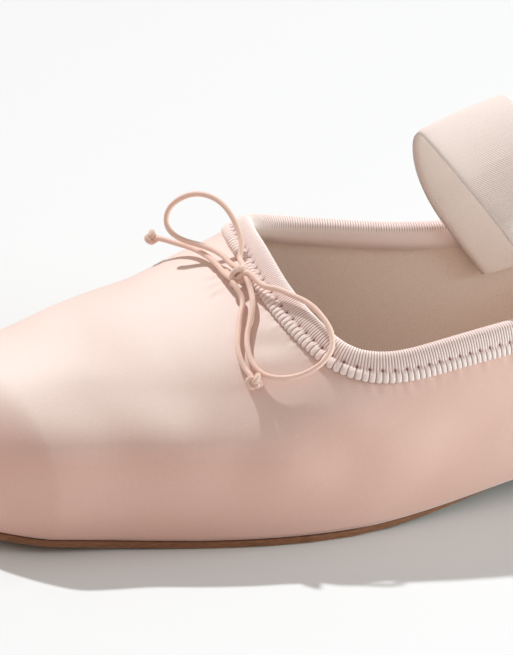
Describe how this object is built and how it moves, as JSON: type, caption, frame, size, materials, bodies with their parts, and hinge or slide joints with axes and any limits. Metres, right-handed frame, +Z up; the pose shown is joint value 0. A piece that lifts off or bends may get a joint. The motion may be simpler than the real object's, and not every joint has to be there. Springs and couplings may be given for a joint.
{
  "type": "ballet flat",
  "caption": "Left satin ballet flat with a ribbed topline binding, an elastic strap over the instep, a thin leather sole, a low heel and a small cord bow.",
  "frame": {"origin": "centre of the heel block's flat tread, on the floor", "axes": "+Z up; the shoe's length lies along X with the toe towards -X; the outer side of the left foot is -Y"},
  "size_m": [0.2508, 0.0852, 0.0878],
  "materials": {
    "outsole": "smooth brown leather, worn at the edge",
    "heel": "stacked brown leather",
    "upper": "blush satin with a soft sheen",
    "insole": "pale smooth lining leather",
    "binding": "ribbed tape, matte",
    "strap": "ribbed elastic webbing, matte",
    "cord": "round woven cord, matte"
  },
  "bodies": {
    "root": {"outsole": "outsole", "heel": "heel", "upper": "upper", "insole": "insole", "binding": "binding", "strap": "strap", "bow_knot": "cord", "bow_loop_near": "cord", "bow_loop_far": "cord", "bow_tail_near": "cord", "bow_tail_far": "cord", "tail_knot_near": "cord", "tail_knot_far": "cord"}
  },
  "joints": []
}
